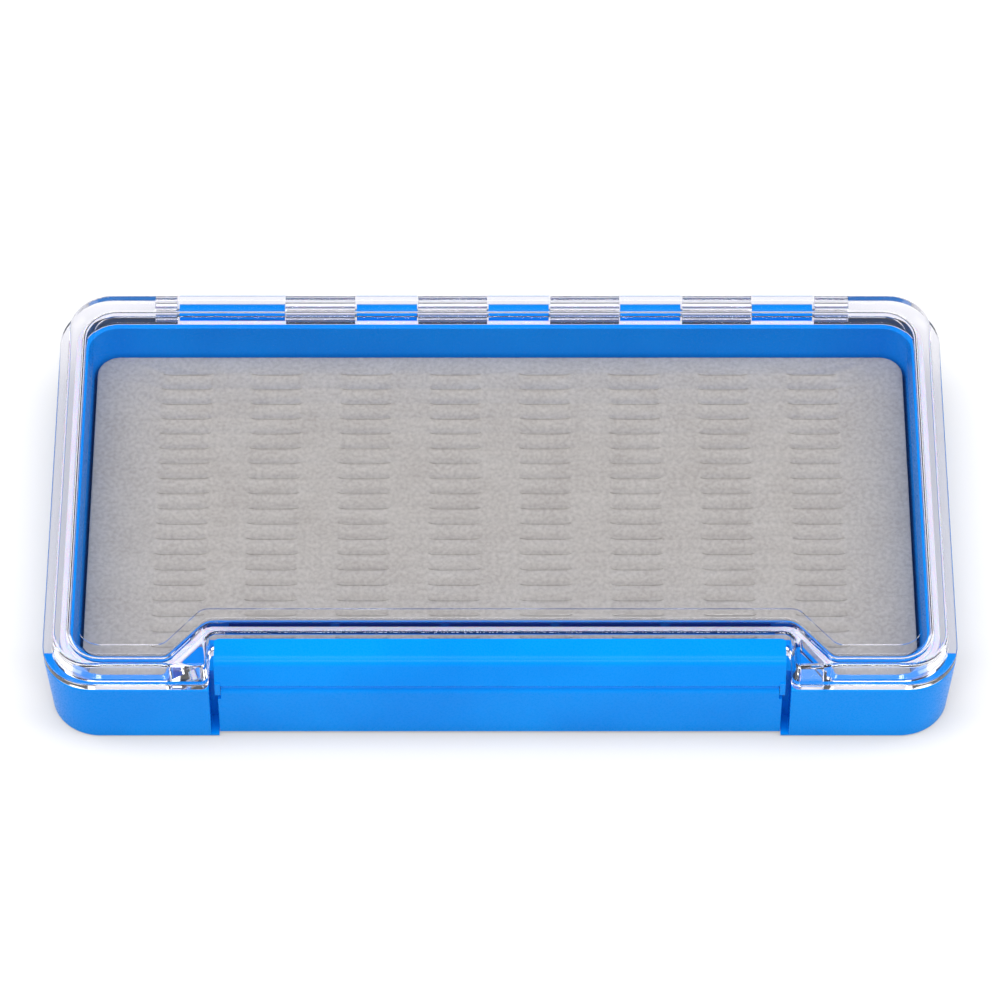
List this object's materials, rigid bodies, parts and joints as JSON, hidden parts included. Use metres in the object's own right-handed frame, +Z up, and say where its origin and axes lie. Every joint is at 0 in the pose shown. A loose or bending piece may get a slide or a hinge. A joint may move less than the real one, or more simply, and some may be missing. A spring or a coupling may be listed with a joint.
{
  "type": "jig box",
  "caption": "Slim moulded tackle case with a clear hinged lid, wide front latch, seal ring and slit silicone pad for small jigs.",
  "frame": {"origin": "under the middle of the closed box, on the surface that it stands on", "axes": "+X along the front, to the right as seen from the front; +Y to the back, where the hinge is; +Z up"},
  "size_m": [0.1904, 0.1032, 0.0233],
  "materials": {
    "blue_plastic": "moulded, semi-gloss",
    "clear_plastic": "clear moulded plastic, polished",
    "steel": "drawn wire",
    "seal_silicone": "translucent soft silicone",
    "pad_silicone": "matt grey silicone with a fine mottle",
    "adhesive_sheet": "thin double-sided adhesive sheet"
  },
  "bodies": {
    "case": {"base_tray": "blue_plastic", "hinge_pin": "steel", "latch_plate": "blue_plastic", "latch_pin": "steel", "seal_ring": "seal_silicone", "slit_pad": "pad_silicone", "pad_backing": "adhesive_sheet"},
    "lid": {"lid": "clear_plastic"},
    "latch": {"latch_flap": "blue_plastic"}
  },
  "joints": [
    {"name": "lid_hinge", "type": "hinge", "parent": "case", "child": "lid", "pos_m": [0, 0.0498, 0.0162], "axis": [-1, 0, 0], "range_deg": [0, 180]},
    {"name": "latch_hinge", "type": "hinge", "parent": "case", "child": "latch", "pos_m": [0, -0.0489, 0.01395], "axis": [1, 0, 0], "range_deg": [0, 90]}
  ]
}
